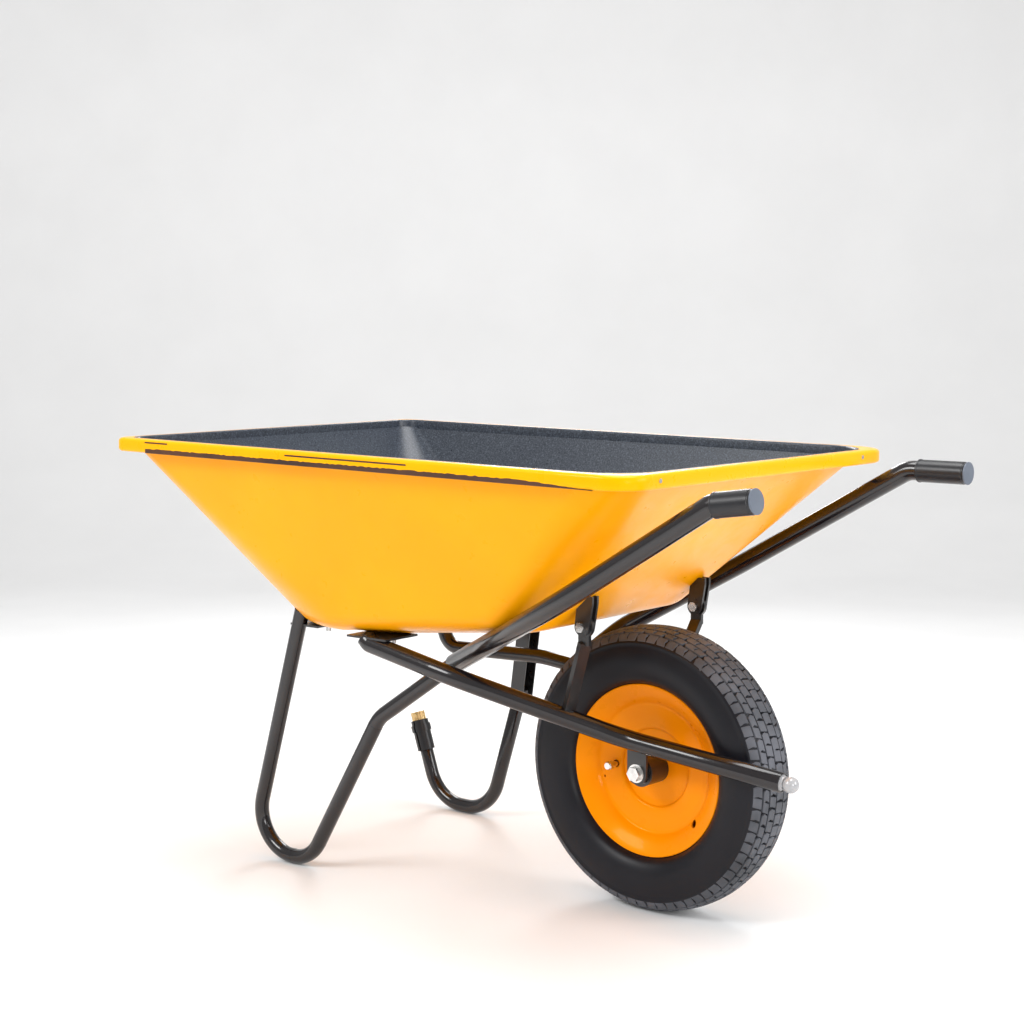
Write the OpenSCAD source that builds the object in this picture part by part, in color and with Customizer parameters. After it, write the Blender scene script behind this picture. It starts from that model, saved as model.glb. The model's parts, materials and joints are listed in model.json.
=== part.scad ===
// Single-wheel builder's wheelbarrow: pressed tray, bent tube frame, pneumatic wheel.
// +X points to the wheel and the handles, -Y is the near side, Z = 0 is the ground.
// The origin is under the middle of the whole barrow.

/* [Overall] */
// Length over everything, rear rim to grip caps
total_l = 1100; // [1080:5:1140]

/* [Tray] */
// Length of the rim, outside
rim_l = 951; // [941:2:961]
// Width of the rim, outside
rim_w = 652; // [630:2:680]
// Height of the rim's top above the ground, at the tray's middle
rim_top = 645; // [642:1:650]
// How far the rim leans down towards the wheel, in degrees
rim_tilt = 0.55; // [0.3:0.05:0.6]
// Height of the rolled rim
rim_h = 20; // [16:1:22]
// Width of the rolled rim
rim_t = 14; // [12:1:16]
// Rim corner radius at the rear end
rim_r_rear = 18; // [16:1:24]
// Rim corner radius at the wheel end
rim_r_front = 48; // [44:2:56]
// Length of the pressed floor, over its rounded edges
floor_l = 538; // [530:2:540]
// Width of the pressed floor, over its rounded edges
floor_w = 456; // [450:2:460]
// Height of the floor's underside at its rear edge
floor_rear_z = 363; // [362:0.5:364]
// Height of the floor's underside at its wheel-side edge
floor_front_z = 405; // [404:0.5:407]
// Sheet thickness
sheet_t = 1.6; // [1.2:0.1:2]
// Thickness of the dark inside coating
lining_t = 0.8; // [0.6:0.1:1]

/* [Wheel] */
// Outside diameter of the tyre
tyre_d = 402; // [400:1:404]
// Wheel centre along X
wheel_x = 220; // [218:1:222]
// Diameter over the wheel's flanges
flange_d = 244; // [243:0.5:245]
// Hub diameter
hub_d = 41; // [38:1:44]
// Axle bolt diameter
axle_d = 12; // [12:0.5:13]
// Running clearance on the axle, all round
axle_fit = 0.05; // [0.03:0.01:0.1]

/* [Frame tubes] */
// Outside diameter of the handle tubes
handle_od = 28; // [27:0.5:28.5]
// Outside diameter of the leg tubes
leg_od = 22.5; // [21:0.5:23]
// Outside diameter of the wheel rails
rail_od = 27; // [26:0.5:27.5]
// Wall thickness of the leg and rail tubes
tube_wall = 2; // [1.5:0.25:2.5]
// Rail centre line from the middle plane, at the wheel
rail_y = 64; // [63:0.5:66]

/* [Grips] */
// Length of the near grip's sleeve, which starts at the bend
near_grip_l = 56; // [50:1:58]
// Length of the far grip's sleeve
far_grip_l = 73; // [68:1:76]
// Outside diameter of a grip sleeve
grip_od = 32; // [31:0.5:33]
// Half the distance between the two grips' centre lines
grip_y = 273; // [270:1:276]

/* [Hidden] */
$fn = 64;
hull_fn = 32;

// derived tray values
tray_x = rim_l / 2 - total_l / 2;
side_inset = 16;
rear_inset = 14;
front_inset = 17;
wall_drop = rim_h / 2;
wall_r_rear = 28;
wall_r_front = 74;
floor_rear_x = -374;
floor_front_x = floor_rear_x + floor_l;
edge_r = 46;
floor_r_rear = 168;
floor_r_front = 80;
floor_slope = (floor_front_z - floor_rear_z) / (floor_l - 2 * edge_r);

// height of the floor's underside at x
function floor_at(x) = floor_rear_z + floor_slope * (x - floor_rear_x - edge_r);
// underside of the floor's level part, at the legs' end
level_z = floor_at(floor_rear_x + floor_r_rear);

// derived grip and wheel values
near_tip = [546.5, -grip_y, 616];
far_tip = [547, grip_y, 614];
cap_t = 3;
axle_z = tyre_d / 2;
hub_half = 42;
plate_t = 5;
plate_y = rail_y - rail_od / 2 - plate_t;
well_r = 94;
bead_r = 101.5;
cavity_r = 151;
channel_lean = 8;
bearing_d = 32;
plate_w = 32;
plate_h = 3;
seat_l = 11;
plug_d = 22;
valve_r = 66;
valve_y = 20;
valve_d = 8;
far_rail_y = rail_y - (rail_od - leg_od) / 2;
valve_angle = 183;

// tube walls; a handle's bore takes the leg tube
leg_wall = tube_wall;
rail_wall = tube_wall;
leg_slip = 0.3;
handle_wall = (handle_od - leg_od - leg_slip) / 2;

// how far a tube's straights lap over its bends, and how much slimmer the bends are
bend_lap = 0.6;
bend_draw = 0.4;

// centre lines of the bent tubes, each a list of corner points
near_handle_run = [near_tip, [485.6, -grip_y, 607.5], [249.4, -263.8, 467], [-6, -174, 346]];
far_handle_run = [far_tip, [457, grip_y, 614], [198.7, 248.4, 462.7], [8, 203, 351],
    [-24, 153, 308]];
near_leg_run = [[18.1, -182.5, 357.4], [-14, -171.2, 342.2], [-151.4, -174, 249.4],
    [-297, -172, 11.3], [-424, -172, 11.3], [-295.1, -185.7, 396]];
far_leg_run = [[-203, 220, 228], [-272, 222, 11.3], [-386, 222, 11.3], [-430, 222, 144]];
near_rail_run = [[-182, -198, 396], [-142, -202, 364], [20, -206, 335], [205, -rail_y, 251],
    [463, -rail_y, 228]];
far_rail_run = [[-296, 112, 396], [-266, 112, 303], [-85, 124, 306], [20, 132, 293],
    [190, far_rail_y, 257], [262, far_rail_y, 250]];

function unit(v) = v / norm(v);
function turn(a, b, c) = acos(unit(b - a) * unit(c - b));
function cut(a, b, c, r) = r * tan(turn(a, b, c) / 2);

// ---------- general shapes ----------

// A straight round bar between two points
module bar(a, b, d) {
    v = b - a;
    l = norm(v);
    translate(a) rotate([0, acos(v.z / l), atan2(v.y, v.x)]) cylinder(d = d, h = l);
}

// A round bend of centre-line radius r at corner b
module elbow(a, b, c, r, d) {
    u1 = unit(b - a);
    u2 = unit(c - b);
    side = unit(u2 - (u2 * u1) * u1);
    axis = cross(-side, u1);
    o = b - cut(a, b, c, r) * u1 + r * side;
    multmatrix([[-side.x, u1.x, axis.x, o.x], [-side.y, u1.y, axis.y, o.y],
        [-side.z, u1.z, axis.z, o.z], [0, 0, 0, 1]])
        rotate_extrude(angle = turn(a, b, c)) translate([r, 0]) circle(d = d);
}

// A round bar along a list of corner points, with a bend radius for each inner corner.
// The straights lap a little over the bends, which are drawn slightly slimmer.
module bent_bar(p, r, d, past = 0) {
    n = len(p) - 1;
    for (i = [0 : n - 1]) {
        u = unit(p[i + 1] - p[i]);
        start = i == 0 ? -past : cut(p[i - 1], p[i], p[i + 1], r[i - 1]) - bend_lap;
        stop = i == n - 1 ? -past : cut(p[i], p[i + 1], p[i + 2], r[i]) - bend_lap;
        bar(p[i] + start * u, p[i + 1] - stop * u, d);
        if (i < n - 1) elbow(p[i], p[i + 1], p[i + 2], r[i], d - bend_draw);
    }
}

// A bent tube with an open bore
module bent_tube(p, r, d, wall) {
    difference() {
        bent_bar(p, r, d);
        bent_bar(p, r, d - 2 * wall, 1);
    }
}

// A hexagon bolt lying along -Y, with its head's inner face at the origin
module hex_bolt(d, l, head_w, head_h) {
    rotate([-90, 0, 0]) cylinder(d = d, h = l);
    rotate([90, 0, 0]) cylinder(d = head_w / cos(30), h = head_h, $fn = 6);
}

// A hexagon nut along Y
module hex_nut(d, w, h) {
    rotate([-90, 0, 0]) difference() {
        cylinder(d = w / cos(30), h = h, $fn = 6);
        translate([0, 0, -1]) cylinder(d = d, h = h + 2);
    }
}

// A ring about the Y axis, from y0 to y1
module y_ring(d_out, d_in, y0, y1) {
    translate([0, y0, 0]) rotate([-90, 0, 0]) difference() {
        cylinder(d = d_out, h = y1 - y0);
        translate([0, 0, -1]) cylinder(d = d_in, h = y1 - y0 + 2);
    }
}

module at_axle() translate([wheel_x, 0, axle_z]) children();

// ---------- tray ----------

// Sets things out from the middle of the rim's top, leaning with it
module on_rim() {
    translate([tray_x, 0, rim_top]) rotate([0, rim_tilt, 0]) children();
}

// Sets things out from a spot on the underside of the floor's level part
module on_floor(x, y) {
    translate([x, y, level_z]) children();
}

// One rounded lower corner of the pan, shrunk by g
module floor_corner(x, y, r, g) {
    translate([x, y, floor_at(x) + edge_r]) rotate_extrude($fn = hull_fn) intersection() {
        translate([r - edge_r, 0]) circle(r = edge_r - g, $fn = hull_fn);
        translate([0, -edge_r]) square(2 * r);
    }
}

// Solid pressed pan, shrunk by g all round
module pan_block(g) {
    rear_x = rear_inset + wall_r_rear - rim_l / 2;
    front_x = rim_l / 2 - front_inset - wall_r_front;
    half_w = rim_w / 2 - side_inset;
    hull() for (s = [-1, 1]) {
        on_rim() translate([rear_x, s * (half_w - wall_r_rear), -wall_drop])
            cylinder(r = wall_r_rear - g, h = 0.1, $fn = hull_fn);
        on_rim() translate([front_x, s * (half_w - wall_r_front), -wall_drop])
            cylinder(r = wall_r_front - g, h = 0.1, $fn = hull_fn);
        floor_corner(floor_rear_x + floor_r_rear, s * (floor_w / 2 - floor_r_rear),
            floor_r_rear, g);
        floor_corner(floor_front_x - floor_r_front, s * (floor_w / 2 - floor_r_front),
            floor_r_front, g);
    }
}

// where the tray is bolted down: two rails, near leg, far leg's channel
bolt_spots = [[-142, -152], [-258, 112], [-290, -136], [-152, 160]];
bolt_d = 8;
bolt_gap = 0.4;

module bolt_holes() {
    for (p = bolt_spots) on_floor(p.x, p.y) translate([0, 0, -10])
        cylinder(d = bolt_d + bolt_gap, h = 40);
}

module tray_shell() {
    color("gold") difference() {
        pan_block(0);
        translate([0, 0, 0.2]) pan_block(sheet_t);
        bolt_holes();
    }
}

module tray_lining() {
    color("slategray") difference() {
        translate([0, 0, 0.2]) pan_block(sheet_t);
        translate([0, 0, 0.4]) pan_block(sheet_t + lining_t);
        bolt_holes();
    }
}

// The rim's plan outline, filled
module rim_plan(g) {
    hull() for (s = [-1, 1]) {
        translate([-rim_l / 2 + rim_r_rear, s * (rim_w / 2 - rim_r_rear)])
            circle(r = rim_r_rear - g);
        translate([rim_l / 2 - rim_r_front, s * (rim_w / 2 - rim_r_front)])
            circle(r = rim_r_front - g);
    }
}

// The wall's plan outline at its top, filled and shrunk by g
module wall_plan(g) {
    rear_x = rear_inset + wall_r_rear - rim_l / 2;
    front_x = rim_l / 2 - front_inset - wall_r_front;
    half_w = rim_w / 2 - side_inset;
    hull() for (s = [-1, 1]) {
        translate([rear_x, s * (half_w - wall_r_rear)])
            circle(r = wall_r_rear - g);
        translate([front_x, s * (half_w - wall_r_front)])
            circle(r = wall_r_front - g);
    }
}

rod_rear = 72 - rim_l / 2;
rod_front = rim_l / 2 - 53;
rod_w = 6;

// Rolled rim: a bead that hangs down outside the wall and grips its top edge
module rim_bead() {
    lip = sheet_t + lining_t + 0.4;
    color("gold") on_rim() difference() {
        union() {
            translate([0, 0, -rim_h]) linear_extrude(rim_h - 2) rim_plan(0);
            translate([0, 0, -2]) linear_extrude(2) rim_plan(2);
        }
        translate([0, 0, -rim_h - 1]) linear_extrude(rim_h - wall_drop + 1.3) wall_plan(-0.3);
        translate([0, 0, -rim_h - 1]) linear_extrude(rim_h - wall_drop - 2) rim_plan(rim_t);
        translate([0, 0, -rim_h]) linear_extrude(rim_h + 1) wall_plan(lip);
        for (s = [-1, 1]) translate([rod_rear - 0.2, s * rim_w / 2 - 6.2, -rim_h - 1])
            cube([rod_front - rod_rear + 0.4, 12.4, 7.2]);
    }
}

// Dark steel edge strip let into the rim's lower edge along one long side
module edge_rod(s) {
    color("saddlebrown") on_rim() translate([rod_rear, s * (rim_w / 2 - 3) - 3, -rim_h])
        cube([rod_front - rod_rear, rod_w, rod_w]);
}
module near_edge_rod() edge_rod(-1);
module far_edge_rod() edge_rod(1);

module rim_rivets() {
    color("khaki") on_rim() for (y = [-258, 241]) translate([rim_l / 2, y, -9])
        rotate([0, 90, 0]) cylinder(d = 6, h = 1);
}

// ---------- handles ----------

module handle(p, r) {
    color("dimgray") bent_tube(p, r, handle_od, handle_wall);
}
module near_handle() handle(near_handle_run, [22, 300]);
module far_handle() handle(far_handle_run, [40, 300, 60]);

// Sets things out from a handle's end, with +Z out of the tube
module on_tip(run) {
    v = run[0] - run[1];
    translate(run[0]) rotate([0, 90 - atan2(v.z, v.x), 0]) children();
}

// Moulded sleeve slid over the tube's end
module grip(run, l) {
    color("darkslategray") on_tip(run) translate([0, 0, -l]) difference() {
        cylinder(d = grip_od, h = l);
        translate([0, 0, -1]) cylinder(d = handle_od, h = l + 2);
    }
}
module near_grip() grip(near_handle_run, near_grip_l);
module far_grip() grip(far_handle_run, far_grip_l);

// Push-in cap: a disc that covers the grip's end, and a plug in the tube's bore
module end_cap(run) {
    stem_d = handle_od - 2 * handle_wall;
    color("lightslategray") on_tip(run) difference() {
        union() {
            cylinder(d = grip_od, h = cap_t);
            translate([0, 0, -20]) cylinder(d = stem_d, h = 20.5);
        }
        translate([0, 0, -21]) cylinder(d = stem_d - 4, h = 20);
    }
}
module near_end_cap() end_cap(near_handle_run);
module far_end_cap() end_cap(far_handle_run);

// ---------- legs ----------

module near_leg() {
    color("dimgray") difference() {
        bent_tube(near_leg_run, [60, 60, 62, 62], leg_od, leg_wall);
        pan_block(0);
    }
}

module far_leg() {
    color("dimgray") bent_tube(far_leg_run, [70, 70], leg_od, leg_wall);
}

// Folded channel that carries the far leg up to the tray, with a foot for the tray bolt
module far_leg_channel() {
    top = far_leg_run[0];
    color("black") difference() {
        union() {
            translate(top) rotate([0, channel_lean, 0]) difference() {
                translate([-13.2, -13.2, -14]) cube([26.4, 26.4, 190]);
                translate([-11.7, -11.7, -15]) cube([30, 23.4, 192]);
            }
            on_floor(bolt_spots[3].x, bolt_spots[3].y) translate([-44, -16, -plate_h])
                cube([64, 92, plate_h]);
        }
        on_floor(0, 0) translate([-500, -400, 0]) cube([900, 800, 120]);
        bar(top, far_leg_run[1], leg_od);
        bolt_holes();
    }
}

// Split clamp on the far leg's free end
module leg_ferrule() {
    a = far_leg_run[2];
    b = far_leg_run[3];
    u = unit(b - a);
    color("black") difference() {
        union() {
            bar(b - 52 * u, b, leg_od + 7);
            bar(b - 20 * u, b - 8 * u, leg_od + 11);
        }
        bar(b - 53 * u, b + 5 * u, leg_od);
        translate(b - 53 * u) rotate([0, atan2(u.x, u.z), 0]) translate([-1.5, -30, -1])
            cube([3, 30, 60]);
    }
}

// Knurled brass adjuster in the far leg's free end
module brass_insert() {
    a = far_leg_run[2];
    b = far_leg_run[3];
    u = unit(b - a);
    lean = atan2(u.x, u.z);
    color("darkgoldenrod") translate(b) rotate([0, lean, 0]) {
        translate([0, 0, -24]) cylinder(d = leg_od - 2 * leg_wall, h = 24.1);
        difference() {
            cylinder(d = 24, h = 14);
            for (k = [0 : 17]) rotate([0, 0, 20 * k]) translate([12.4, 0, -1])
                cylinder(d = 2.4, h = 16);
            translate([0, 0, 4]) cylinder(d = 13, h = 12);
        }
    }
}

// ---------- rails ----------

// Cuts a rail's upper end off flush with the underside of its saddle plate
module under_saddle() {
    difference() {
        children();
        on_floor(0, 0) translate([-500, -400, -plate_h]) cube([900, 800, 120]);
    }
}

module near_rail() {
    color("dimgray") under_saddle() bent_tube(near_rail_run, [50, 120, 110], rail_od, rail_wall);
}

module far_rail() {
    color("dimgray") under_saddle() bent_tube(far_rail_run, [30, 200, 200, 160], leg_od, rail_wall);
}

// Rounded plug in the near rail's open nose
module rail_plug() {
    a = near_rail_run[3];
    b = near_rail_run[4];
    u = unit(b - a);
    color("black") {
        bar(b - 18 * u, b, rail_od - 2 * rail_wall);
        bar(b - u, b + 12 * u, plug_d - 4);
        translate(b + 12 * u) sphere(d = plug_d);
    }
}

// ---------- braces ----------

// Flat strut standing on a rail, with a thinner pierced eye at its top
module brace(eye, foot, run, d) {
    knee = eye - [0, 0, 22];
    v = foot - knee;
    l = norm(v);
    tilt = acos(v.z / l);
    swing = atan2(v.y, v.x);
    color("black") difference() {
        union() {
            translate(eye) rotate([90, 0, 0]) translate([0, 0, -3]) cylinder(d = 30, h = 6);
            translate(knee - [9, 3, 4]) cube([18, 6, 26]);
            translate(knee) rotate([0, tilt, swing]) translate([-4, -9, 0]) cube([8, 18, l]);
        }
        translate(eye) rotate([90, 0, 0]) translate([0, 0, -30]) cylinder(d = 8.4, h = 60);
        bar(run[0], run[1], d);
    }
}

near_eye = [181.5, -119.5, 411.3];
near_foot = [144, -108, 284];
far_eye = [183, 150.7, 408];
far_foot = [176, 70, 265];

module near_brace() brace(near_eye, near_foot, [near_rail_run[2], near_rail_run[3]], rail_od);
module far_brace() brace(far_eye, far_foot, [far_rail_run[3], far_rail_run[4]], leg_od + 4);

lug_rise = 38;

// Fork lug on the tray's wheel-end wall, one cheek on each side of the strut's eye
module lug(eye) {
    color("black") difference() {
        union() {
            for (side = [-1, 1]) hull() {
                translate(eye + [0, side * 5.6, 0]) rotate([90, 0, 0])
                    cylinder(d = 24, h = 4, center = true, $fn = hull_fn);
                translate(eye + [6, side * 5.6, lug_rise]) cube([24, 4, 10], center = true);
            }
        }
        pan_block(0);
        translate(eye) rotate([90, 0, 0]) translate([0, 0, -30]) cylinder(d = 8.4, h = 60);
    }
}
module near_lug() lug(near_eye);
module far_lug() lug(far_eye);

module brace_bolt(eye) {
    color("silver") translate(eye - [0, 7.6, 0]) hex_bolt(8, 26, 13, 5.3);
}
module near_brace_bolt() brace_bolt(near_eye);
module far_brace_bolt() brace_bolt(far_eye);

module brace_nuts() {
    color("silver") for (e = [near_eye, far_eye])
        translate(e + [0, 7.6, 0]) hex_nut(8, 13, 6.5);
}

// ---------- tray fixings ----------

// Bolted plate between the tray's floor and a tube's end
module saddle(p, l, w, shift) {
    difference() {
        on_floor(p.x, p.y) translate([shift.x - l / 2, shift.y - w / 2, -plate_h])
            cube([l, w, plate_h]);
        bolt_holes();
    }
}

module rail_saddles() {
    color("black") {
        saddle(bolt_spots[0], 76, 68, [2, -26]);
        saddle(bolt_spots[1], 76, 32, [-18, 0]);
    }
}

module leg_saddle() {
    color("black") difference() {
        saddle(bolt_spots[2], 56, 68, [0, -18]);
        bar(near_leg_run[4], near_leg_run[5], leg_od);
    }
}

// Cup-head bolts down through the tray's floor
module tray_bolts() {
    top = sheet_t + lining_t + bolt_gap;
    color("silver") for (p = bolt_spots) on_floor(p.x, p.y) {
        translate([0, 0, -16]) cylinder(d = bolt_d, h = top + 16.5);
        translate([0, 0, top]) rotate_extrude() intersection() {
            translate([0, -8]) circle(r = 12.8);
            square([12, 6]);
        }
    }
}

module tray_nuts() {
    color("silver") for (p = bolt_spots) on_floor(p.x, p.y)
        translate([0, 0, -plate_h - 6.5]) difference() {
            cylinder(d = 13 / cos(30), h = 6.5, $fn = 6);
            translate([0, 0, -1]) cylinder(d = bolt_d, h = 9);
        }
}

// ---------- axle ----------

// Drop plate from a rail down to the axle, round at the bottom
module axle_plate(s) {
    y0 = s > 0 ? plate_y : -plate_y - plate_t;
    color("black") at_axle() difference() {
        translate([0, y0, 0]) rotate([-90, 0, 0]) union() {
            cylinder(d = plate_w, h = plate_t);
            translate([-plate_w / 2, -50, 0]) cube([plate_w, 50, plate_t]);
        }
        translate([0, y0 - 1, 0]) rotate([-90, 0, 0]) cylinder(d = axle_d, h = plate_t + 2);
    }
}
module near_axle_plate() axle_plate(-1);
module far_axle_plate() axle_plate(1);

head_y = plate_y + plate_t + 2;

module axle_bolt() {
    color("silver") at_axle() translate([0, -head_y, 0])
        hex_bolt(axle_d, 2 * head_y + 14, 18, 7.5);
}

module axle_nut() {
    color("silver") at_axle() translate([0, head_y, 0]) hex_nut(axle_d, 18, 10);
}

module axle_washers() {
    color("silver") at_axle() {
        y_ring(26, axle_d, -head_y, -head_y + 2);
        y_ring(26, axle_d, head_y - 2, head_y);
    }
}

// Short tubes that keep the wheel centred between the drop plates
module axle_collars() {
    color("gray") at_axle() for (s = [-1, 1])
        y_ring(19, axle_d, s > 0 ? hub_half : -plate_y, s > 0 ? plate_y : -hub_half);
}

// ---------- wheel ----------

// Half of the pressed rim, as a profile of radius against distance from the middle
module half_profile() {
    polygon([[20.6, 0], [56, 0], [59, 5], [well_r - 4, 7], [well_r, 9], [bead_r - 3, 13.5],
        [bead_r, 15.5], [bead_r, 21.5], [bead_r + 3, 24.5], [117, 25.5], [flange_d / 2, 27.5],
        [flange_d / 2, 30], [117, 28], [bead_r + 2, 27],
        [bead_r - 2, 23.5], [bead_r - 2.2, 16.5], [well_r - 2, 11.2], [well_r - 5, 9.3],
        [58, 7.4], [55, 2.2], [20.6, 2.2]]);
}

// drain holes in the disc: radius and angle
slot_spots = [[99, 18], [99, -42]];

module wheel_half(s) {
    color("gold") at_axle() difference() {
        rotate([s > 0 ? -90 : 90, 0, 0]) rotate_extrude($fn = 96) half_profile();
        for (p = slot_spots) rotate([0, -p[1], 0]) translate([p[0], 0, 0]) rotate([90, 0, 0])
            cylinder(d = 10, h = 60, center = true);
        rotate([0, -valve_angle, 0]) translate([valve_r, 0, 0]) rotate([90, 0, 0])
            cylinder(d = valve_d + 4, h = 60, center = true);
    }
}
module near_wheel_half() wheel_half(-1);
module far_wheel_half() wheel_half(1);

// Hub tube with a seat for a bearing in each end
module hub() {
    color("black") at_axle() difference() {
        y_ring(hub_d, 24, -hub_half, hub_half);
        for (y0 = [-hub_half - 1, hub_half - seat_l]) translate([0, y0, 0])
            rotate([-90, 0, 0]) cylinder(d = bearing_d, h = seat_l + 1);
    }
}

// Ball bearing with a shield groove in each face
module bearing(s) {
    w = 10;
    y0 = s * (hub_half - 0.3 - w / 2);
    color("silver") at_axle() difference() {
        y_ring(bearing_d, axle_d + 2 * axle_fit, y0 - w / 2, y0 + w / 2);
        for (y1 = [y0 - w / 2 - 1, y0 + w / 2 - 0.8]) y_ring(27, 17, y1, y1 + 1.8);
    }
}
module near_bearing() bearing(-1);
module far_bearing() bearing(1);

module bearing_spacer() {
    l = hub_half - 0.3 - 10;
    color("gray") at_axle() y_ring(17, axle_d + 1, -l, l);
}

// Section of the tyre, radius against distance from the middle plane, one side
tyre_side = [[bead_r, 15.5], [bead_r, 21.1], [bead_r + 3, 24.1], [117, 25.1], [122.3, 27.1],
    [122.5, 30.6], [127, 36.5], [133, 41], [141, 44.5], [152, 46],
    [164, 45.4], [176, 43], [184, 40.5], [190, 37.5], [195, 32], [198.5, 22], [tyre_d / 2, 8]];

// Points of an oval about the middle of the tyre's section
function oval(half_r, half_y) =
    [for (i = [0 : 23]) [cavity_r + half_r * cos(15 * i), half_y * sin(15 * i)]];

module tyre() {
    far_side = [for (i = [len(tyre_side) - 1 : -1 : 0]) [tyre_side[i].x, -tyre_side[i].y]];
    color("black") at_axle() rotate([90, 0, 0]) rotate_extrude($fn = 96) difference() {
        polygon(concat(tyre_side, far_side));
        polygon(oval(36, 36));
        translate([bead_r - 1, -15.4]) square([26, 30.8]);
    }
}

module inner_tube() {
    color("dimgray") at_axle() rotate([90, 0, 0]) rotate_extrude($fn = 96) difference() {
        polygon(oval(35.8, 35.8));
        polygon(oval(33.8, 33.8));
    }
}

// Metal valve stem: out of the rim, then turned towards the near side
module valve_stem() {
    color("silver") at_axle() rotate([0, -valve_angle, 0]) translate([valve_r, 0, 0]) {
        rotate([0, 90, 0]) cylinder(d = valve_d, h = cavity_r - 36 - valve_r);
        sphere(d = valve_d);
        rotate([90, 0, 0]) cylinder(d = valve_d, h = valve_y);
    }
}

module valve_cap() {
    color("silver") at_axle() rotate([0, -valve_angle, 0]) translate([valve_r, -valve_y, 0])
        rotate([90, 0, 0]) {
            cylinder(d = 12.5, h = 8);
            translate([0, 0, 8]) cylinder(d1 = 12.5, d2 = 9.5, h = 2);
        }
}

tray_shell();
tray_lining();
rim_bead();
near_edge_rod();
far_edge_rod();
rim_rivets();
near_handle();
far_handle();
near_grip();
far_grip();
near_end_cap();
far_end_cap();
near_leg();
far_leg();
far_leg_channel();
leg_ferrule();
brass_insert();
near_rail();
far_rail();
rail_plug();
near_brace();
far_brace();
near_lug();
far_lug();
near_brace_bolt();
far_brace_bolt();
brace_nuts();
rail_saddles();
leg_saddle();
tray_bolts();
tray_nuts();
near_axle_plate();
far_axle_plate();
axle_bolt();
axle_nut();
axle_washers();
axle_collars();
near_wheel_half();
far_wheel_half();
hub();
near_bearing();
far_bearing();
bearing_spacer();
inner_tube();
tyre();
valve_stem();
valve_cap();
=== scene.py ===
import json
import math
import random

import bmesh
import bpy
from mathutils import Matrix, Vector


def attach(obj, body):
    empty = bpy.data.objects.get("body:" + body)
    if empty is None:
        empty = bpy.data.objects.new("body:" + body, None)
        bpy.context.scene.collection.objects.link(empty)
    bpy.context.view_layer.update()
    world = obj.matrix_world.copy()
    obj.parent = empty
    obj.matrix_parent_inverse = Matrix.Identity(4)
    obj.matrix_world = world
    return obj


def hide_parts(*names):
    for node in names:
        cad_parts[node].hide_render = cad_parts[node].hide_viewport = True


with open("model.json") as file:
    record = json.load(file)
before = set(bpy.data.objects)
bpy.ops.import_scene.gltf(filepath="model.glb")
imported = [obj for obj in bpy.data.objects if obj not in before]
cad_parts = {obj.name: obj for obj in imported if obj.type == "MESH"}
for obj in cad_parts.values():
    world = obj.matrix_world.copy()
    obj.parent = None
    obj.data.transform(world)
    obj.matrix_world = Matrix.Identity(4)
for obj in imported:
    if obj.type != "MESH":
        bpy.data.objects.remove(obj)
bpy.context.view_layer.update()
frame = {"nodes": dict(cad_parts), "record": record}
MM = 0.001
scene = bpy.context.scene


# ---------- materials ----------

def new_material(name):
    mat = bpy.data.materials.new(name)
    mat.use_nodes = True
    nodes = mat.node_tree.nodes
    links = mat.node_tree.links
    shader = nodes["Principled BSDF"]
    coord = nodes.new("ShaderNodeTexCoord")
    return mat, nodes, links, shader, coord.outputs["Object"]


def noise_node(nodes, links, vector, scale, detail=4.0, rough=0.55):
    node = nodes.new("ShaderNodeTexNoise")
    node.inputs["Scale"].default_value = scale
    node.inputs["Detail"].default_value = detail
    node.inputs["Roughness"].default_value = rough
    links.new(vector, node.inputs["Vector"])
    return node


def colour_ramp(nodes, links, value, stops):
    ramp = nodes.new("ShaderNodeValToRGB")
    band = ramp.color_ramp
    while len(band.elements) < len(stops):
        band.elements.new(0.5)
    for element, (place, colour) in zip(band.elements, stops):
        element.position = place
        element.color = (*colour, 1.0)
    links.new(value, ramp.inputs["Fac"])
    return ramp


def value_range(nodes, links, value, low, high, in_low=0.3, in_high=0.7):
    node = nodes.new("ShaderNodeMapRange")
    node.inputs["From Min"].default_value = in_low
    node.inputs["From Max"].default_value = in_high
    node.inputs["To Min"].default_value = low
    node.inputs["To Max"].default_value = high
    links.new(value, node.inputs["Value"])
    return node


def add_bump(nodes, links, shader, height, strength, distance):
    node = nodes.new("ShaderNodeBump")
    node.inputs["Strength"].default_value = strength
    node.inputs["Distance"].default_value = distance
    links.new(height, node.inputs["Height"])
    links.new(node.outputs["Normal"], shader.inputs["Normal"])


def paint(name, light, dark, rough, coat=0.6, peel=260.0, sheen=None):
    """Sprayed gloss paint: slow colour drift, smudged gloss and orange peel."""
    mat, nodes, links, shader, vector = new_material(name)
    drift = noise_node(nodes, links, vector, 5.0, 3.0)
    ramp = colour_ramp(nodes, links, drift.outputs["Fac"], [(0.3, dark), (0.7, light)])
    links.new(ramp.outputs["Color"], shader.inputs["Base Color"])
    smudge = noise_node(nodes, links, vector, 38.0, 6.0, 0.6)
    spread = value_range(nodes, links, smudge.outputs["Fac"], rough * 0.8, rough * 1.3)
    links.new(spread.outputs["Result"], shader.inputs["Roughness"])
    skin = noise_node(nodes, links, vector, peel, 2.0)
    add_bump(nodes, links, shader, skin.outputs["Fac"], 0.08, 0.0006)
    shader.inputs["Coat Weight"].default_value = coat
    shader.inputs["Coat Roughness"].default_value = 0.08
    if sheen:
        shader.inputs["Specular Tint"].default_value = (*sheen, 1.0)
        shader.inputs["Specular IOR Level"].default_value = 0.4
    return mat


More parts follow.
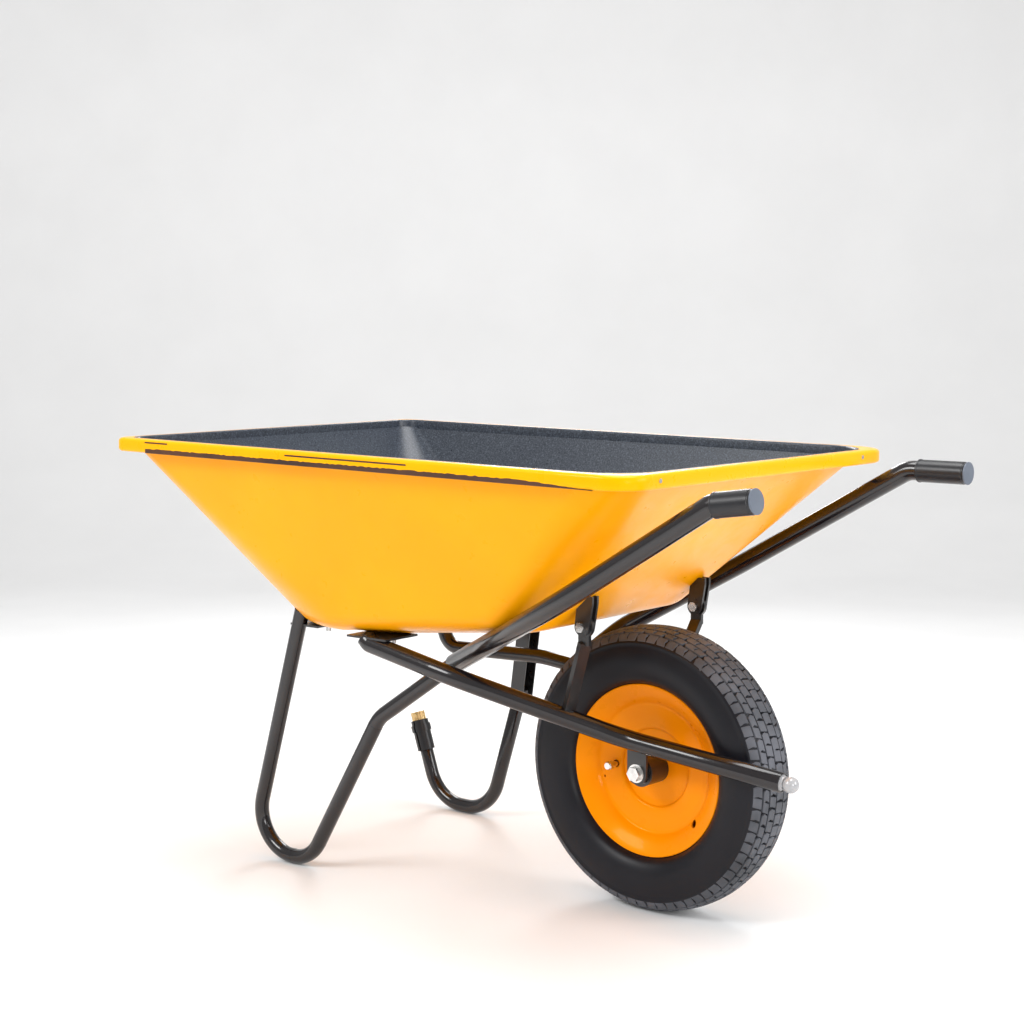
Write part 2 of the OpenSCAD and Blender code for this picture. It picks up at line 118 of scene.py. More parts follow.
def coating(name):
    """Dark textured lining: a speckle of pale grains over blue-grey."""
    mat, nodes, links, shader, vector = new_material(name)
    grain = noise_node(nodes, links, vector, 420.0, 3.0, 0.7)
    ramp = colour_ramp(nodes, links, grain.outputs["Fac"], [
        (0.36, (0.016, 0.021, 0.030)), (0.52, (0.032, 0.041, 0.056)), (0.68, (0.09, 0.105, 0.13))])
    broad = noise_node(nodes, links, vector, 6.0, 3.0)
    tint = colour_ramp(nodes, links, broad.outputs["Fac"], [
        (0.3, (0.82, 0.84, 0.9)), (0.7, (1.0, 1.0, 1.0))])
    mix = nodes.new("ShaderNodeMixRGB")
    mix.blend_type = "MULTIPLY"
    mix.inputs["Fac"].default_value = 1.0
    links.new(ramp.outputs["Color"], mix.inputs["Color1"])
    links.new(tint.outputs["Color"], mix.inputs["Color2"])
    links.new(mix.outputs["Color"], shader.inputs["Base Color"])
    spread = value_range(nodes, links, grain.outputs["Fac"], 0.26, 0.44)
    links.new(spread.outputs["Result"], shader.inputs["Roughness"])
    shader.inputs["Specular IOR Level"].default_value = 0.5
    add_bump(nodes, links, shader, grain.outputs["Fac"], 0.25, 0.0005)
    return mat


def moulded(name, light, dark, rough, grain=900.0, strength=0.12, spec=0.5):
    """Moulded rubber or plastic with a fine skin."""
    mat, nodes, links, shader, vector = new_material(name)
    drift = noise_node(nodes, links, vector, 14.0, 5.0)
    ramp = colour_ramp(nodes, links, drift.outputs["Fac"], [(0.32, dark), (0.7, light)])
    links.new(ramp.outputs["Color"], shader.inputs["Base Color"])
    skin = noise_node(nodes, links, vector, grain, 3.0)
    spread = value_range(nodes, links, drift.outputs["Fac"], rough * 0.85, rough * 1.15)
    links.new(spread.outputs["Result"], shader.inputs["Roughness"])
    shader.inputs["Specular IOR Level"].default_value = spec
    add_bump(nodes, links, shader, skin.outputs["Fac"], strength, 0.0004)
    return mat


def plated(name, light, dark, rough, scale=120.0):
    """Plated metal with fine streaks and dull patches."""
    mat, nodes, links, shader, vector = new_material(name)
    stretch = nodes.new("ShaderNodeMapping")
    stretch.inputs["Scale"].default_value = (1.0, 6.0, 1.0)
    links.new(vector, stretch.inputs["Vector"])
    streak = noise_node(nodes, links, stretch.outputs["Vector"], scale, 5.0)
    ramp = colour_ramp(nodes, links, streak.outputs["Fac"], [(0.3, dark), (0.7, light)])
    links.new(ramp.outputs["Color"], shader.inputs["Base Color"])
    spread = value_range(nodes, links, streak.outputs["Fac"], rough * 0.7, rough * 1.4)
    links.new(spread.outputs["Result"], shader.inputs["Roughness"])
    shader.inputs["Metallic"].default_value = 1.0
    add_bump(nodes, links, shader, streak.outputs["Fac"], 0.1, 0.0003)
    return mat


AMBER = (1.0, 0.5, 0.05)
tray_paint = paint("tray_paint", (1.0, 0.40, 0.0), (0.98, 0.36, 0.0), 0.32, 0.04, sheen=AMBER)
# the rim's yellow is the tray's paint made lighter: painted light, the extra light falling on the
# rolled rim
rim_lit_paint = paint("rim_lit_paint", (1.0, 0.46, 0.0), (1.0, 0.42, 0.0), 0.3, 0.1, sheen=AMBER)
wheel_paint = paint("wheel_paint", (1.0, 0.30, 0.0), (0.95, 0.26, 0.0), 0.3, 0.08, sheen=AMBER)
tube_paint = paint("tube_paint", (0.010, 0.008, 0.009), (0.005, 0.003, 0.004), 0.16, 0.3)
plate_paint = paint("plate_paint", (0.018, 0.017, 0.018), (0.009, 0.009, 0.010), 0.32, 0.4)
# near-black brown for painted shade: the shade line under the rolled rim and the shade inside the
# band's slots
shade_brown_paint = paint("shade_brown_paint", (0.11, 0.035, 0.008), (0.025, 0.008, 0.003), 0.55, 0.0, 120.0)
tray_coat = coating("tray_coat")
black_plastic = moulded("black_plastic", (0.009, 0.009, 0.012), (0.005, 0.005, 0.007), 0.36)
cap_plastic = moulded("cap_plastic", (0.15, 0.17, 0.21), (0.10, 0.12, 0.155), 0.5, 700.0, 0.3)
plug_plastic = moulded("plug_plastic", (0.42, 0.42, 0.43), (0.25, 0.25, 0.26), 0.12, 300.0, 0.05, 0.8)
sidewall_rubber = moulded("sidewall_rubber", (0.007, 0.007, 0.011), (0.003, 0.003, 0.006), 0.42,
                          600.0, 0.1, 0.28)
tread_rubber = moulded("tread_rubber", (0.115, 0.12, 0.14), (0.035, 0.038, 0.046), 0.62, 520.0, 0.5)
tube_rubber = moulded("tube_rubber", (0.03, 0.03, 0.03), (0.02, 0.02, 0.02), 0.6)
zinc = plated("zinc", (0.86, 0.85, 0.83), (0.55, 0.54, 0.53), 0.22)
brass = plated("brass", (0.90, 0.68, 0.36), (0.42, 0.27, 0.10), 0.3)

NODE_MATERIALS = {
    "tray_paint": tray_paint, "tray_coating": tray_coat, "edge_steel": shade_brown_paint,
    "frame_paint": plate_paint, "black_plastic": black_plastic, "cap_plastic": cap_plastic,
    "plug_plastic": plug_plastic, "brass": brass, "zinc": zinc, "wheel_paint": wheel_paint,
    "tube_rubber": tube_rubber, "tyre_rubber": sidewall_rubber,
}
for part in frame["record"]["subparts"]:
    cad = frame["nodes"][part["node"]]
    cad.data.materials.clear()
    cad.data.materials.append(NODE_MATERIALS[part["material_slot"]])
# the near leg's CAD mesh is shown as it is, in the tubes' paint
frame["nodes"]["near_leg"].data.materials[0] = tube_paint


# ---------- mesh helpers ----------

def add(name, verts, faces, mat, body, sharp=35.0):
    mesh = bpy.data.meshes.new(name)
    mesh.from_pydata([Vector(v) * MM for v in verts], [], faces)
    mesh.validate()
    mesh.update()
    mesh.shade_smooth()
    mesh.set_sharp_from_angle(angle=math.radians(sharp))
    piece = bpy.data.objects.new(name, mesh)
    scene.collection.objects.link(piece)
    mesh.materials.append(mat)
    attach(piece, body)
    return piece


def skin(rings, closed_ring=True, closed_path=False):
    """Quads between rings of equal length."""
    n = len(rings[0])
    verts = [p for ring in rings for p in ring]
    faces = []
    rows = len(rings) if closed_path else len(rings) - 1
    cols = n if closed_ring else n - 1
    for i in range(rows):
        a, b = i * n, ((i + 1) % len(rings)) * n
        for j in range(cols):
            k = (j + 1) % n
            faces.append((a + j, a + k, b + k, b + j))
    return verts, faces


def frame_of(axis):
    """The axis and two directions square to it."""
    axis = Vector(axis).normalized()
    side = axis.orthogonal().normalized()
    return axis, side, axis.cross(side)


def lathe(name, profile, origin, axis, mat, body, segs=72, sharp=35.0):
    """Turns (radius, height) points about an axis; ends are closed onto the axis."""
    axis, side, other = frame_of(axis)
    origin = Vector(origin)
    rings = []
    for r, h in profile:
        r = max(r, 0.01)
        rings.append([origin + axis * h + r * (math.cos(t) * side + math.sin(t) * other)
                      for t in (2 * math.pi * k / segs for k in range(segs))])
    verts, faces = skin(rings)
    if profile[0][0] <= 0.01:
        faces.append(tuple(range(segs))[::-1])
    if profile[-1][0] <= 0.01:
        last = (len(profile) - 1) * segs
        faces.append(tuple(range(last, last + segs)))
    piece = add(name, verts, faces, mat, body, sharp)
    tidy_normals(piece)
    return piece


def tidy_normals(piece):
    work = bmesh.new()
    work.from_mesh(piece.data)
    bmesh.ops.remove_doubles(work, verts=work.verts, dist=0.00002)
    bmesh.ops.recalc_face_normals(work, faces=work.faces)
    work.to_mesh(piece.data)
    work.free()


def route(points, radii):
    """Centre line with round bends."""
    pts = [Vector(p) for p in points]
    out = [pts[0]]
    for i, r in enumerate(radii, 1):
        a, b, c = pts[i - 1], pts[i], pts[i + 1]
        u, v = (b - a).normalized(), (c - b).normalized()
        angle = u.angle(v)
        cut = r * math.tan(angle / 2)
        side = (v - u * u.dot(v)).normalized()
        centre = b - cut * u + r * side
        steps = max(3, int(math.degrees(angle) / 3))
        for k in range(steps + 1):
            t = angle * k / steps
            out.append(centre + r * (math.sin(t) * u - math.cos(t) * side))
    out.append(pts[-1])
    return out


def tube(name, points, radii, d, wall, node, segs=48):
    """Bent tube with rounded, open ends."""
    path = route(points, radii)
    r = d / 2
    inner = r - wall
    tangents = []
    for i in range(len(path)):
        a, b = path[max(i - 1, 0)], path[min(i + 1, len(path) - 1)]
        tangents.append((b - a).normalized())
    side = tangents[0].orthogonal().normalized()
    frames = []
    for t in tangents:
        side = (side - t * side.dot(t)).normalized()
        frames.append((side, t.cross(side)))

    def ring(p, fr, radius):
        s, o = fr
        return [p + radius * (math.cos(a) * s + math.sin(a) * o)
                for a in (2 * math.pi * k / segs for k in range(segs))]

    t0, t1 = tangents[0], tangents[-1]
    rings = [ring(path[0] + 14 * t0, frames[0], inner), ring(path[0] + 0.4 * t0, frames[0], inner),
             ring(path[0], frames[0], inner + 0.4), ring(path[0], frames[0], r - 0.5),
             ring(path[0] + 0.5 * t0, frames[0], r)]
    rings += [ring(p, f, r) for p, f in zip(path[1:-1], frames[1:-1])]
    rings += [ring(path[-1] - 0.5 * t1, frames[-1], r), ring(path[-1], frames[-1], r - 0.5),
              ring(path[-1], frames[-1], inner + 0.4),
              ring(path[-1] - 0.4 * t1, frames[-1], inner),
              ring(path[-1] - 14 * t1, frames[-1], inner)]
    verts, faces = skin(rings)
    faces.append(tuple(range(segs))[::-1])
    last = (len(rings) - 1) * segs
    faces.append(tuple(range(last, last + segs)))
    piece = add(name, verts, faces, tube_paint, "frame", 50.0)
    tidy_normals(piece)
    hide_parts(node)


# ---------- tray ----------

# design millimetres; the rim leans by TILT towards the wheel
TOTAL_L, RIM_L, RIM_W, RIM_TOP, TILT = 1100, 951, 652, 645, math.radians(0.55)
RIM_H = 20
RIM_REAR_R, RIM_FRONT_R = 18, 48
WALL_REAR, WALL_FRONT, WALL_SIDE = 14, 17, 16
WALL_REAR_R, WALL_FRONT_R = 28, 74
LINING_INSET, LINING_LIFT = 2.4, 0.4
TRAY_X = RIM_L / 2 - TOTAL_L / 2
FLOOR_X0, FLOOR_X1, FLOOR_HW = -374, 164, 228
FLOOR_R0, FLOOR_R1, EDGE_R = 168, 80, 46
FLOOR_Z0, FLOOR_Z1 = 363, 405
SLOPE = (FLOOR_Z1 - FLOOR_Z0) / (FLOOR_X1 - FLOOR_X0 - 2 * EDGE_R)


def floor_at(x):
    """Height of the sloping floor."""
    return FLOOR_Z0 + SLOPE * (x - FLOOR_X0 - EDGE_R)


def on_rim(x, y, z):
    """A point given from the middle of the rim's top, in the design frame."""
    c, s = math.cos(TILT), math.sin(TILT)
    return Vector((x * c + z * s + TRAY_X, y, -x * s + z * c + RIM_TOP))


def outline(x0, x1, hw, r0, r1, turn=20, run=14):
    """Rounded rectangle as (x, y, normal x, normal y), the same count for any size."""
    out = []
    corners = [(x1 - r1, hw - r1, r1, 0), (x0 + r0, hw - r0, r0, 90),
               (x0 + r0, r0 - hw, r0, 180), (x1 - r1, r1 - hw, r1, 270)]
    arcs = []
    for cx, cy, r, start in corners:
        arc = []
        for k in range(turn + 1):
            a = math.radians(start + 90 * k / turn)
            arc.append((cx + r * math.cos(a), cy + r * math.sin(a), math.cos(a), math.sin(a)))
        arcs.append(arc)
    for i, arc in enumerate(arcs):
        out += arc
        a, b = arc[-1], arcs[(i + 1) % 4][0]
        for k in range(1, run):
            t = k / run
            out.append(tuple(a[m] + t * (b[m] - a[m]) for m in range(4)))
    return out


def wall_outline(g):
    """The top of the pan's walls, taken inwards by g."""
    return outline(-RIM_L / 2 + WALL_REAR + g, RIM_L / 2 - WALL_FRONT - g, RIM_W / 2 - WALL_SIDE - g,
                   WALL_REAR_R - g, WALL_FRONT_R - g)


REAR_X, FRONT_X = FLOOR_X0 + FLOOR_R0, FLOOR_X1 - FLOOR_R1
REAR_Z, FRONT_Z = floor_at(REAR_X), floor_at(FRONT_X)


def floor_height(x, y):
    """The floor is level round its rear corners, then rises along straight lines to the front ones."""
    def covered(t):
        half = (1 - t) * (FLOOR_HW - FLOOR_R0) + t * (FLOOR_HW - FLOOR_R1)
        radius = (1 - t) * (FLOOR_R0 - EDGE_R) + t * (FLOOR_R1 - EDGE_R)
        return math.hypot(x - REAR_X - t * (FRONT_X - REAR_X), max(0.0, abs(y) - half)) <= radius + 0.01

    steps = 40
    high = next((k / steps for k in range(steps + 1) if covered(k / steps)), 1.0)
    low = max(0.0, high - 1 / steps)
    for _ in range(12 if high > 0 else 0):
        mid = (low + high) / 2
        low, high = (low, mid) if covered(mid) else (mid, high)
    return REAR_Z + high * (FRONT_Z - REAR_Z)


def pan_rings(g, lift):
    """Rings of the pressed pan from its top edge to the middle of its floor."""
    top = wall_outline(g)
    core = outline(FLOOR_X0 + EDGE_R, FLOOR_X1 - EDGE_R, FLOOR_HW - EDGE_R,
                   FLOOR_R0 - EDGE_R, FLOOR_R1 - EDGE_R)
    e = EDGE_R - g
    columns = []
    for (tx, ty, nx, ny), (cx, cy, _, _) in zip(top, core):
        t = on_rim(tx, ty, -RIM_H / 2) + Vector((0, 0, lift))
        mid = min(max(cx, REAR_X), FRONT_X)
        c = Vector((cx, cy, floor_at(mid) + EDGE_R + lift))
        out = Vector((nx, ny, 0))
        reach = (t - c).dot(out)
        rise = t.z - c.z
        span = math.hypot(reach, rise)
        first = math.acos(e / span) - math.atan2(rise, reach)
        column = []
        tangent = c + e * (math.cos(first) * out - math.sin(first) * Vector((0, 0, 1)))
        for k in range(18):
            s = k / 18
            column.append(t + s * (tangent - t))
        for k in range(9):
            phi = first + (math.pi / 2 - first) * k / 8
            column.append(c + e * (math.cos(phi) * out - math.sin(phi) * Vector((0, 0, 1))))
        columns.append(column)
    rings = [list(row) for row in zip(*columns)]
    hub_x = (FLOOR_X0 + FLOOR_X1) / 2
    flat = rings[-1]
    for s in (0.93, 0.86, 0.78, 0.7, 0.6, 0.5, 0.4, 0.3, 0.2, 0.1, 0.02):
        plan = [(hub_x + s * (p.x - hub_x), s * p.y) for p in flat]
        rings.append([Vector((x, y, floor_height(x, y) + g + lift)) for x, y in plan])
    return rings


def pan(name, g, lift, mat, node):
    rings = pan_rings(g, lift)
    verts, faces = skin(rings)
    n = len(rings[0])
    last = (len(rings) - 1) * n
    faces.append(tuple(range(last, last + n)))
    piece = add(name, verts, faces, mat, "frame", 80.0)
    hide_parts(node)


pan("tray_outside", 0.0, 0.0, tray_paint, "tray_shell")
pan("tray_inside", LINING_INSET, LINING_LIFT, tray_coat, "tray_lining")

# rolled rim: (part of the way from the outer to the inner edge, height)
outer_edge = outline(-RIM_L / 2, RIM_L / 2, RIM_W / 2, RIM_REAR_R, RIM_FRONT_R)
inner_edge = wall_outline(3.0)
RIM_SECTION = [(1.0, -13.0), (0.99, -5.0), (0.96, -2.4), (0.88, -0.8), (0.76, 0.0), (0.5, 0.05),
               (0.26, 0.0), (0.12, -0.7), (0.035, -2.4), (0.0, -5.0), (0.0, -10.0),
               (0.0, -16.0), (0.03, -18.6), (0.12, -19.9), (0.3, -20.0), (0.42, -19.0),
               (0.46, -14.0), (0.6, -11.0), (0.9, -12.0)]
rim_rings = []
for s, z in RIM_SECTION:
    rim_rings.append([on_rim(a[0] + s * (b[0] - a[0]), a[1] + s * (b[1] - a[1]), z)
                      for a, b in zip(outer_edge, inner_edge)])
verts, faces = skin(rim_rings, closed_path=True)
rim = add("rolled_rim", verts, faces, rim_lit_paint, "frame", 60.0)
tidy_normals(rim)
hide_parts("rim_bead")

# the lining runs up the inside of the rim and over its inner edge
LIP_SECTION = [(2.2, -22.0), (4.2, -22.0), (4.2, -3.0), (3.6, -1.2), (2.4, -0.1), (0.4, 0.3),
               (-2.5, 0.3), (-2.8, 0.1), (0.4, -0.6), (2.2, -2.5)]
lip_rings = [[on_rim(x, y, z) for x, y, _, _ in wall_outline(g)] for g, z in LIP_SECTION]
verts, faces = skin(lip_rings, closed_path=True)
lip = add("lining_lip", verts, faces, tray_coat, "frame", 60.0)
tidy_normals(lip)

# dark rough strips along the rim's lower edge, a little proud of it, in place of the CAD edge rods;
# their dark brown is painted shade, the shade line under the rolled rim
random.seed(3)
STRIP_REAR, STRIP_FRONT, STRIP_H = 72, 53, 6.6
STRIP_X0, STRIP_X1 = STRIP_REAR - RIM_L / 2, RIM_L / 2 - STRIP_FRONT
for side, prefix in ((-1, "near"), (1, "far")):
    rings = []
    steps = 160
    for k in range(steps + 1):
        x = STRIP_X0 + (STRIP_X1 - STRIP_X0) * k / steps
        taper = min(1.0, (steps - k) / 22)
        top = -20.0 + taper * (STRIP_H + random.uniform(-0.7, 0.7))
        out = RIM_W / 2 + random.uniform(0.25, 0.5)
        rings.append([on_rim(x, side * y, z) for y, z in (
            (out - 5, -20.0), (out - 0.4, -20.1), (out, -19.6), (out, top - 0.5),
            (out - 0.6, top), (out - 5, top))])
    verts, faces = skin(rings)
    faces += [tuple(range(6)), tuple(range(steps * 6, steps * 6 + 6))]
    strip = add(prefix + "_edge_shade_strip", verts, faces, shade_brown_paint, "frame", 30.0)
    tidy_normals(strip)
    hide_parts(prefix + "_edge_rod")

# the band's thin pressed slots, drawn as dark capsules laid just proud of its face; their dark brown is
# painted shade, the shade inside the slots
SLOTS = ((-478, -430, -4.5), (-183, 42, -7.0))
SLOT_R, SLOT_SEGS = 1.1, 24
for i, (x0, x1, z) in enumerate(SLOTS):
    x0, x1 = x0 - TRAY_X, x1 - TRAY_X
    ring = []
    for k in range(SLOT_SEGS):
        a = 2 * math.pi * k / SLOT_SEGS
        end = x1 if math.cos(a) > 0 else x0
        ring.append((end + SLOT_R * math.cos(a), SLOT_R * math.sin(a) + z))
    back = [on_rim(x, -RIM_W / 2 + 1.0, zz) for x, zz in ring]
    front = [on_rim(x, -RIM_W / 2 - 0.25, zz) for x, zz in ring]
    verts, faces = skin([back, front])
    faces.append(tuple(range(SLOT_SEGS, 2 * SLOT_SEGS)))
    slot_piece = add(f"band_slot_shade_{i}", verts, faces, shade_brown_paint, "frame")
    tidy_normals(slot_piece)

# ---------- tubes ----------

GRIP_Y = 273
HANDLE_D, RAIL_D, THIN_D = 28, 27, 22.5
HANDLE_WALL, WALL = 2.6, 2
NEAR_TIP, FAR_TIP = (546.5, -GRIP_Y, 616), (547, GRIP_Y, 614)
tube("near_handle_tube", [NEAR_TIP, (485.6, -GRIP_Y, 607.5), (249.4, -263.8, 467), (-6, -174, 346)],
     [22, 300], HANDLE_D, HANDLE_WALL, "near_handle")
tube("far_handle_tube", [FAR_TIP, (457, GRIP_Y, 614), (198.7, 248.4, 462.7), (8, 203, 351),
                         (-24, 153, 308)], [40, 300, 60], HANDLE_D, HANDLE_WALL, "far_handle")
tube("far_leg_tube", [(-203, 220, 228), (-272, 222, 11.3), (-386, 222, 11.3), (-430, 222, 144)],
     [70, 70], THIN_D, WALL, "far_leg")
tube("near_rail_tube", [(-150, -201.8, 371.1), (-142, -202, 364), (20, -206, 335), (205, -64, 251),
                        (463, -64, 228)], [12, 120, 110], RAIL_D, WALL, "near_rail")
tube("far_rail_tube", [(-291, 112, 370), (-266, 112, 303), (-85, 124, 306), (20, 132, 293),
                       (190, 61.75, 257), (262, 61.75, 250)], [30, 200, 200, 160], THIN_D, WALL,
     "far_rail")


# ---------- grips, caps, plug ----------

def grip(prefix, tip, back, length):
    axis = (Vector(tip) - Vector(back)).normalized()
    sleeve = lathe(prefix + "_grip_sleeve", [
        (14.1, -length + 2), (14.1, -length), (16.0, -length), (16.5, -length + 0.6),
        (16.5, -length + 2.6), (16.0, -length + 3.2), (15.9, -length + 8), (15.95, -8.0),
        (15.9, -3.4), (15.3, -2.8), (15.2, -1.4), (15.5, -0.4), (15.2, 0.0), (13.0, 0.0)],
        tip, axis, black_plastic, "frame")
    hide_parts(prefix + "_grip")
    cap = lathe(prefix + "_cap_disc", [
        (0, 2.7), (6.0, 2.75), (12.0, 2.8), (14.4, 2.95), (15.3, 2.8), (15.9, 2.2), (16.0, 1.4),
        (15.8, 0.5), (15.0, 0.05), (12.5, 0.0), (11.3, -1.0), (11.3, -19.5), (0, -19.5)],
        tip, axis, cap_plastic, "frame")
    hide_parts(prefix + "_end_cap")


grip("near", NEAR_TIP, (485.6, -GRIP_Y, 607.5), 56)
grip("far", FAR_TIP, (457, GRIP_Y, 614), 73)

nose = Vector((463, -64, 228))
nose_axis = (nose - Vector((205, -64, 251))).normalized()
plug = lathe("rail_nose_plug", [(0, -17), (11.3, -17), (11.4, -1), (10.2, 0.4), (9.4, 1.6), (9.2, 3.4)]
             + [(11 * math.cos(math.radians(a)), 12 + 11 * math.sin(math.radians(a)))
                for a in range(-52, 91, 8)] + [(0, 23)],
             nose, nose_axis, plug_plastic, "frame", sharp=60.0)
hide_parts("rail_plug")

# ---------- wheel ----------

AXLE = Vector((220, 0, 201))
NEAR = Vector((0, -1, 0))


def cut_holes(piece, cutters):
    for cutter in cutters:
        mod = piece.modifiers.new("hole", "BOOLEAN")
        mod.operation = "DIFFERENCE"
        mod.object = cutter
        mod.solver = "EXACT"
    bpy.context.view_layer.update()
    evaluated = piece.evaluated_get(bpy.context.evaluated_depsgraph_get())
    mesh = bpy.data.meshes.new_from_object(evaluated)
    piece.modifiers.clear()
    piece.data = mesh
    mesh.set_sharp_from_angle(angle=math.radians(35))
    for cutter in cutters:
        bpy.data.objects.remove(cutter)


# pressed half: (radius, height to its own side), outside first
WHEEL_SECTION = [(20.7, 2.4), (40, 2.5), (52, 2.7), (54.4, 3.6), (55.6, 5.4), (57.2, 7.0), (60, 7.7),
                 (75, 8.5), (88, 9.3), (91.6, 9.9), (93.2, 11.2), (95.0, 13.4), (98, 16.6),
                 (103, 20.6), (109, 24.4), (114.5, 27.4), (118.4, 29.3), (120.6, 30.0),
                 (121.7, 29.6), (122.1, 28.7), (121.4, 27.8), (118, 26.8), (113, 24.2),
                 (108, 20.6), (102, 16.2), (97.5, 12.6), (94, 9.2), (90, 7.2), (60, 5.2),
                 (57.5, 4.2), (56, 1.2), (54, 0.3), (20.7, 0.3)]


# holes through both halves: (distance from the axle, angle in degrees, radius)
HOLES = ((99, 18, 5.2), (99, -42, 5.2), (66, 183, 5.4), (88, 196, 1.7))


def wheel_half(name, side, node):
    section = WHEEL_SECTION + [WHEEL_SECTION[0]]
    half = lathe(name, section, AXLE, side, wheel_paint, "wheel", 144, 45.0)
    cutters = []
    for radius, angle, size in HOLES:
        a = math.radians(angle)
        centre = AXLE + Vector((radius * math.cos(a), 0, radius * math.sin(a)))
        work = bmesh.new()
        bmesh.ops.create_cone(work, cap_ends=True, segments=28, radius1=size * MM,
                              radius2=size * MM, depth=90 * MM)
        bmesh.ops.rotate(work, verts=work.verts, matrix=Matrix.Rotation(math.pi / 2, 3, "X"))
        bmesh.ops.translate(work, verts=work.verts, vec=centre * MM)
        mesh = bpy.data.meshes.new("cutter")
        work.to_mesh(mesh)
        work.free()
        cutter = bpy.data.objects.new("cutter", mesh)
        scene.collection.objects.link(cutter)
        cutters.append(cutter)
    cut_holes(half, cutters)
    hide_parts(node)


wheel_half("near_dish", NEAR, "near_wheel_half")
wheel_half("far_dish", -NEAR, "far_wheel_half")

TYRE_SIDE = [(110, 8.0), (110.5, 19.5), (114, 23.0), (118.5, 25.8), (121.2, 27.2), (122.6, 28.6),
             (123.6, 31.2), (126, 35.4), (129.5, 38.8), (134, 41.4), (140, 43.8), (147, 45.3),
             (154, 45.9), (161, 45.6), (168, 44.5), (174, 43.1), (178.5, 42.0), (180.2, 42.4),
             (181.6, 42.3), (183.0, 40.9), (186, 38.9), (189.6, 35.6), (192.6, 30.5),
             (195.0, 22.0), (196.4, 10.0), (196.6, 0.0)]
section = TYRE_SIDE + [(r, -y) for r, y in TYRE_SIDE[-2::-1]] + [TYRE_SIDE[0]]
carcass = lathe("tyre_carcass", section, AXLE, NEAR, sidewall_rubber, "wheel", 160, 70.0)
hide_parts("tyre")

CROWN = [(0.0, 200.9), (8.0, 200.8), (22.0, 198.4), (32.0, 194.9), (37.5, 189.8), (41.0, 183.6)]


def crown(y):
    """Radius of the tread's face at y from the middle."""
    y = abs(y)
    for (y0, r0), (y1, r1) in zip(CROWN, CROWN[1:]):
        if y <= y1:
            return r0 + (r1 - r0) * (y - y0) / (y1 - y0)
    return CROWN[-1][1]


# tread blocks in seven rows: (inner edge, outer edge, phase, lean) for the middle and one side
random.seed(7)
PITCHES = 72
ROWS = [(-7.4, 7.4, 0.0, 0.10), (9.4, 21.0, 0.5, 0.16), (23.0, 31.6, 0.1, 0.2), (33.4, 40.6, 0.5, 0.12)]
verts, faces = [], []
for y0, y1, phase, skew in ROWS + [(-b, -a, p + 0.45, -s) for a, b, p, s in ROWS[1:]]:
    for k in range(PITCHES):
        step = 2 * math.pi / PITCHES
        jog = 0.05 * random.uniform(-1, 1)
        start = (k + phase + 0.075 + jog) * step
        stop = (k + phase + 0.925 + jog * 0.5) * step
        lean = skew * step
        parts = 3
        rows = []
        for depth in (-5.0, 0.0):
            for y in (y0, (y0 + y1) / 2, y1):
                t = (y - y0) / (y1 - y0)
                zig = lean * (1 - abs(2 * t - 1)) if k % 2 else lean * t
                line = []
                for m in range(parts + 1):
                    a = start + (stop - start) * m / parts + zig
                    r = crown(y) + depth
                    line.append(AXLE + Vector((r * math.cos(a), -y, r * math.sin(a))))
                rows.append(line)
        base = len(verts)
        w = parts + 1
        for line in rows:
            verts += line
        for lvl in (0, 3):
            for i in range(2):
                for m in range(parts):
                    a = base + (lvl + i) * w + m
                    quad = (a, a + 1, a + 1 + w, a + w)
                    faces.append(quad if lvl else quad[::-1])
        for m in range(parts):
            a, b = base + m, base + 3 * w + m
            faces.append((a, a + 1, b + 1, b))
            a, b = base + 2 * w + m, base + 5 * w + m
            faces.append((a + 1, a, b, b + 1))
        for i in range(2):
            a, b = base + i * w, base + (3 + i) * w
            faces.append((a + w, a, b, b + w))
            a, b = a + parts, b + parts
            faces.append((a, a + w, b + w, b))
tread = add("tyre_tread", verts, faces, tread_rubber, "wheel", 30.0)
tidy_normals(tread)
soft = tread.modifiers.new("worn_edges", "BEVEL")
soft.width = 0.55 * MM
soft.segments = 2
soft.limit_method = "ANGLE"
soft.angle_limit = math.radians(50)

# ---------- camera, floor, light ----------

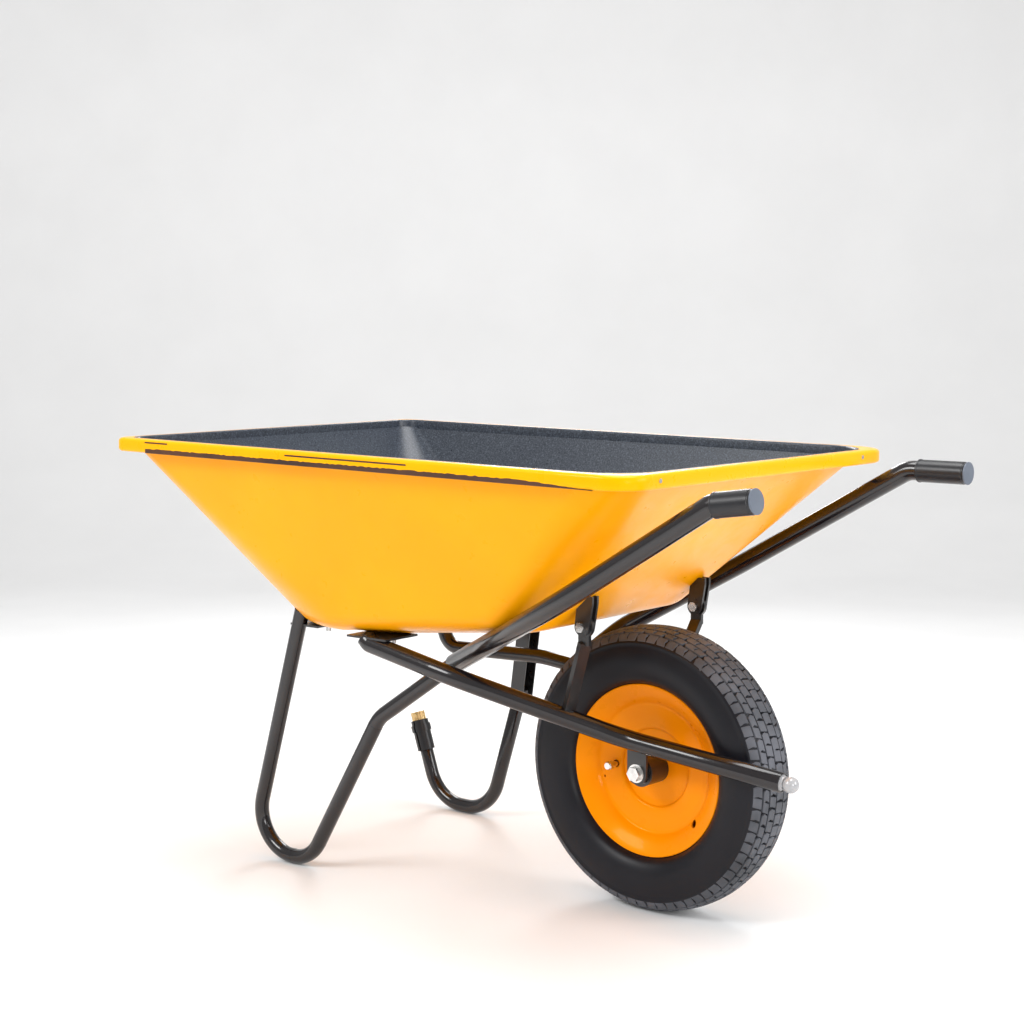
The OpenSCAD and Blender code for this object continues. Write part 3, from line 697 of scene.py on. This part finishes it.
floor_mat, nodes, links, shader, vector = new_material("studio_floor")
mottle = noise_node(nodes, links, vector, 3.0, 3.0)
ramp = colour_ramp(nodes, links, mottle.outputs["Fac"], [
    (0.3, (0.90, 0.90, 0.90)), (0.7, (0.93, 0.93, 0.93))])
links.new(ramp.outputs["Color"], shader.inputs["Base Color"])
shader.inputs["Roughness"].default_value = 0.6
mesh = bpy.data.meshes.new("studio_floor")
profile = [(-4.0, 0.0), (3.0, 0.0)] + [
    (3.0 + 1.5 * math.sin(math.radians(a)), 1.5 - 1.5 * math.cos(math.radians(a)))
    for a in range(10, 91, 10)] + [(4.5, 6.0)]
turn = math.radians(39.3)
back_way = Vector((-math.sin(turn), math.cos(turn), 0))
side_way = Vector((math.cos(turn), math.sin(turn), 0))
rows = [[back_way * d + side_way * w + Vector((0, 0, z)) for w in (-6, 6)] for d, z in profile]
mesh.from_pydata([p for row in rows for p in row], [],
                 [(2 * i, 2 * i + 1, 2 * i + 3, 2 * i + 2) for i in range(len(rows) - 1)])
mesh.shade_smooth()
studio = bpy.data.objects.new("studio_floor", mesh)
scene.collection.objects.link(studio)
mesh.materials.append(floor_mat)

# plain view transform: the default one washes out the yellow
scene.view_settings.view_transform = "Standard"
world = bpy.data.worlds.new("studio_world")
scene.world = world
world.use_nodes = True
world.node_tree.nodes["Background"].inputs["Color"].default_value = (1.0, 1.0, 1.0, 1.0)
world.node_tree.nodes["Background"].inputs["Strength"].default_value = 0.55


def area(name, place, target, size, power, tall=None):
    data = bpy.data.lights.new(name, "AREA")
    data.energy = power
    data.size = size
    if tall:
        data.shape = "RECTANGLE"
        data.size_y = tall
    lamp = bpy.data.objects.new(name, data)
    scene.collection.objects.link(lamp)
    lamp.location = place
    way = Vector(target) - Vector(place)
    lamp.rotation_euler = way.to_track_quat("-Z", "Y").to_euler()


area("key", (-0.9, -2.6, 2.3), (0, 0, 0.4), 1.6, 55.0, 1.0)
area("top", (0.1, 0.2, 2.9), (0, 0, 0.3), 2.2, 60.0, 1.4)
area("side", (2.9, 0.6, 1.5), (0, 0, 0.4), 1.4, 40.0, 1.2)
area("inside_glow", (-1.2, 1.7, 1.5), (-0.3, 0.1, 0.5), 0.8, 14.0, 0.5)
area("corner", (2.7, -1.5, 0.9), (0.3, -0.2, 0.5), 0.7, 16.0, 0.7)

camera = bpy.data.cameras.new("camera")
SENSOR, FOCAL_RATIO = 36, 1940 / 1024
camera.lens = FOCAL_RATIO * SENSOR
camera.sensor_width = SENSOR
eye = bpy.data.objects.new("camera", camera)
scene.collection.objects.link(eye)
eye.location = (1.755, -2.198, 0.837)
eye.rotation_euler = (math.radians(90 - 5.9), 0, turn)
scene.camera = eye
